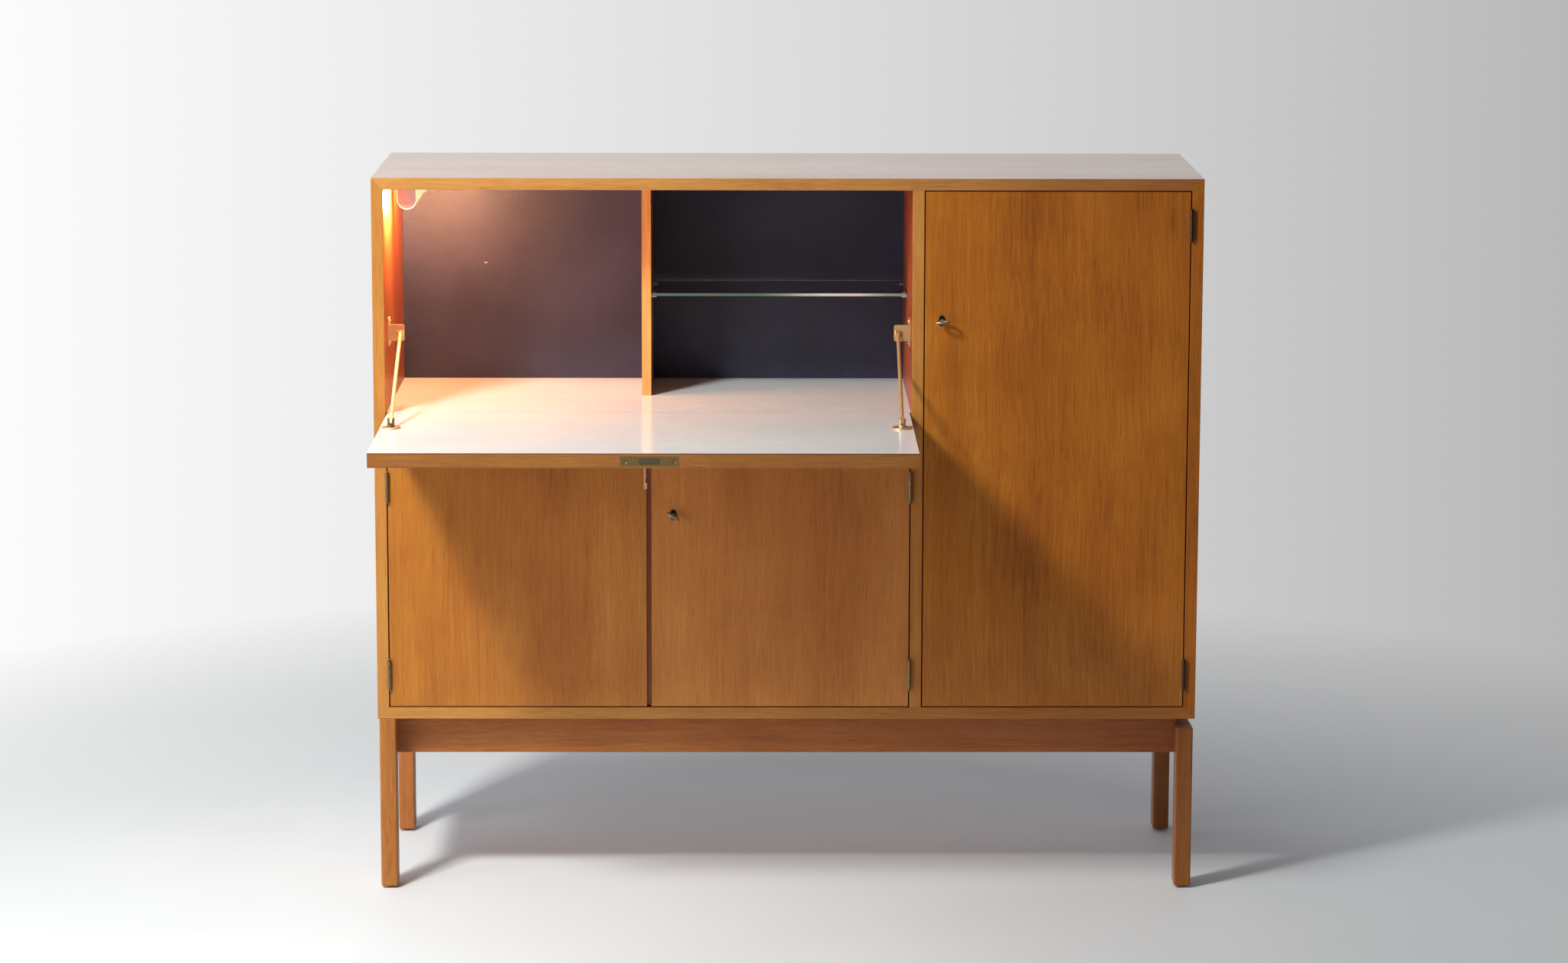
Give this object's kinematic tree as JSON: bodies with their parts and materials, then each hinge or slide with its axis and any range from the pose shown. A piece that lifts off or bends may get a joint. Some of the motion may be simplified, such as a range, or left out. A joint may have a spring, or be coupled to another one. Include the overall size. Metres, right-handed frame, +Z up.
{
  "type": "bar cabinet with fold out shelf",
  "caption": "Wooden highboard on a leg base: drop-front bar with white flap on brass stays, glass shelf and lamp, paired lower doors and one tall door, all with keyed locks.",
  "frame": {"origin": "on the floor, under the middle of the box round the cabinet with its flap open", "axes": "+X along the width to the cabinet's right as seen from the front, +Y from the front to the back, +Z up"},
  "size_m": [1.4, 0.8, 1.23],
  "materials": {
    "oak_face": "honey-coloured veneer, satin varnish",
    "base_wood": "solid reddish wood, satin varnish",
    "board_core": "veneered board",
    "back_ply": "thin plywood, matt",
    "white_laminate": "white glossy laminate",
    "dark_lining": "dark stained lining, satin",
    "clear_glass": "clear glass, polished edges",
    "brass": "polished brass",
    "aged_brass": "aged brass",
    "steel": "plain steel",
    "lamp_white": "white enamel",
    "lamp_diffuser": "translucent opal cover",
    "lamp_tube": "opal glass tube",
    "glide_plastic": "dark plastic"
  },
  "bodies": {
    "carcass": {"back_panel": "back_ply", "bar_back_lining": "dark_lining", "bar_divider": "oak_face", "bar_floor_board": "board_core", "bar_floor_laminate": "white_laminate", "base_corner_blocks": "base_wood", "base_screws": "steel", "bottom_panel": "oak_face", "bracket_screws": "steel", "cupboard_shelves": "board_core", "flap_pivot_plates": "aged_brass", "foot_glides": "glide_plastic", "front_apron": "base_wood", "front_left_leg": "base_wood", "front_right_leg": "base_wood", "glass_shelf": "clear_glass", "hinge_frame_leaves": "aged_brass", "hinge_pins": "steel", "lamp_diffuser": "lamp_diffuser", "lamp_housing": "lamp_white", "lamp_tube": "lamp_tube", "left_base_rail": "base_wood", "left_side_panel": "oak_face", "left_stay_bracket": "brass", "partition_panel": "oak_face", "rear_apron": "base_wood", "rear_left_leg": "base_wood", "rear_right_leg": "base_wood", "right_base_rail": "base_wood", "right_side_panel": "oak_face", "right_stay_bracket": "brass", "shelf_panel": "oak_face", "shelf_pins": "steel", "strike_plates": "aged_brass", "top_panel": "oak_face"},
    "flap": {"flap_panel": "oak_face", "flap_laminate": "white_laminate", "flap_lock": "aged_brass", "flap_lock_screws": "steel", "flap_pivot_pins": "steel", "stay_feet": "brass"},
    "left_stay": {"left_stay_rod": "brass"},
    "right_stay": {"right_stay_rod": "brass"},
    "flap_bolt": {"flap_lock_bolt": "aged_brass"},
    "left_door": {"left_door_panel": "oak_face", "left_door_hinge_leaves": "aged_brass", "flush_bolt_plate": "brass"},
    "flush_bolt": {"flush_bolt_slider": "brass"},
    "right_door": {"right_door_panel": "oak_face", "right_door_hinge_leaves": "aged_brass", "right_door_lock": "steel", "right_door_escutcheon": "aged_brass"},
    "right_key": {"right_door_key": "aged_brass"},
    "right_bolt": {"right_door_lock_bolt": "steel"},
    "tall_door": {"tall_door_panel": "oak_face", "tall_door_hinge_leaves": "aged_brass", "tall_door_lock": "steel", "tall_door_escutcheon": "aged_brass"},
    "tall_key": {"tall_door_key": "aged_brass"},
    "tall_bolt": {"tall_door_lock_bolt": "steel"}
  },
  "joints": [
    {"name": "flap_hinge", "type": "hinge", "parent": "carcass", "child": "flap", "pos_m": [-0.235, -0.00775, 0.81575], "axis": [-1, 0, 0], "range_deg": [0, 90]},
    {"name": "left_stay_pivot", "type": "hinge", "parent": "flap", "child": "left_stay", "pos_m": [-0.659, -0.15983, 0.84], "axis": [1, 0, 0], "range_deg": [0, 45]},
    {"name": "right_stay_pivot", "type": "hinge", "parent": "flap", "child": "right_stay", "pos_m": [0.189, -0.15983, 0.84], "axis": [1, 0, 0], "range_deg": [0, 45]},
    {"name": "flap_bolt_slide", "type": "slide", "parent": "flap", "child": "flap_bolt", "axis": [0, -1, 0], "range_m": [0, 0.009]},
    {"name": "left_door_hinge", "type": "hinge", "parent": "carcass", "child": "left_door", "pos_m": [-0.679, -0.0237, 0.54], "axis": [0, 0, -1], "range_deg": [0, 100]},
    {"name": "flush_bolt_slide", "type": "slide", "parent": "left_door", "child": "flush_bolt", "axis": [0, 0, 1], "range_m": [0, 0.012]},
    {"name": "right_door_hinge", "type": "hinge", "parent": "carcass", "child": "right_door", "pos_m": [0.209, -0.0237, 0.54], "axis": [0, 0, 1], "range_deg": [0, 100]},
    {"name": "right_key_turn", "type": "hinge", "parent": "right_door", "child": "right_key", "pos_m": [-0.1935, -0.02, 0.6555], "axis": [0, 1, 0], "range_deg": [0, 180]},
    {"name": "right_bolt_slide", "type": "slide", "parent": "right_door", "child": "right_bolt", "axis": [-1, 0, 0], "range_m": [0, 0.014]},
    {"name": "tall_door_hinge", "type": "hinge", "parent": "carcass", "child": "tall_door", "pos_m": [0.679, -0.0237, 0.765], "axis": [0, 0, 1], "range_deg": [0, 100]},
    {"name": "tall_key_turn", "type": "hinge", "parent": "tall_door", "child": "tall_key", "pos_m": [0.2605, -0.02, 0.989], "axis": [0, 1, 0], "range_deg": [0, 180]},
    {"name": "tall_bolt_slide", "type": "slide", "parent": "tall_door", "child": "tall_bolt", "axis": [-1, 0, 0], "range_m": [0, 0.014]}
  ],
  "couplings": [
    {"joint": "left_stay_pivot", "follows": "flap_hinge", "ratio": 0.5},
    {"joint": "right_stay_pivot", "follows": "flap_hinge", "ratio": 0.5},
    {"joint": "right_bolt_slide", "follows": "right_key_turn", "m_per_rad": 0.0038197},
    {"joint": "tall_bolt_slide", "follows": "tall_key_turn", "m_per_rad": 0.0038197}
  ]
}
